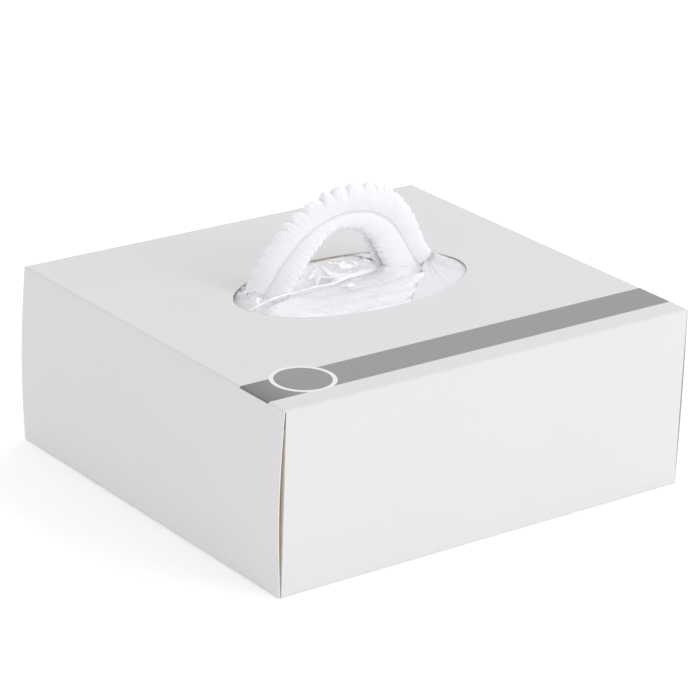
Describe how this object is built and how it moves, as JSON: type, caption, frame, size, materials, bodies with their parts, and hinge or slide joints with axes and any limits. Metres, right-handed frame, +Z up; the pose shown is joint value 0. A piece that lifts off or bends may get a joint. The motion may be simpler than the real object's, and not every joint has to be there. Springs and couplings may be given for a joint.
{
  "type": "pleated scrub cap with its dispenser box",
  "caption": "Disposable scrub cap folded and gathered into a strip, drawn up as an arch through the oval opening of its paperboard dispenser box over clear film and a packed soft fill.",
  "frame": {"origin": "the middle of the carton's bottom, on the surface that it stands on", "axes": "+Z up; X along the carton's long side and along the cap's strip, with the left end flap at -X; -Y is the long side panel seen at the right of the picture"},
  "size_m": [0.2678, 0.238, 0.1505],
  "materials": {
    "nonwoven": "soft matt white spunbond nonwoven, gathered",
    "elastic": "thin white elastic with fine stitching",
    "clear_film": "clear glossy polyethylene film with folds",
    "coated_board": "satin white clay-coated folding board with a plain grey stripe and a ring",
    "raw_board": "uncoated grey-brown back of the board"
  },
  "bodies": {
    "root": {"cap_crown": "nonwoven", "cap_elastic": "elastic", "inner_bag_film": "clear_film", "packed_fill": "nonwoven", "carton_top_panel": "coated_board", "carton_front_panel": "coated_board", "carton_back_panel": "coated_board", "carton_bottom_panel": "coated_board", "end_flap_left": "coated_board", "end_flap_right": "coated_board", "inner_flap_left": "raw_board", "inner_flap_right": "raw_board", "dust_flap_front_left": "raw_board", "dust_flap_back_left": "raw_board", "dust_flap_front_right": "raw_board", "dust_flap_back_right": "raw_board"}
  },
  "joints": []
}
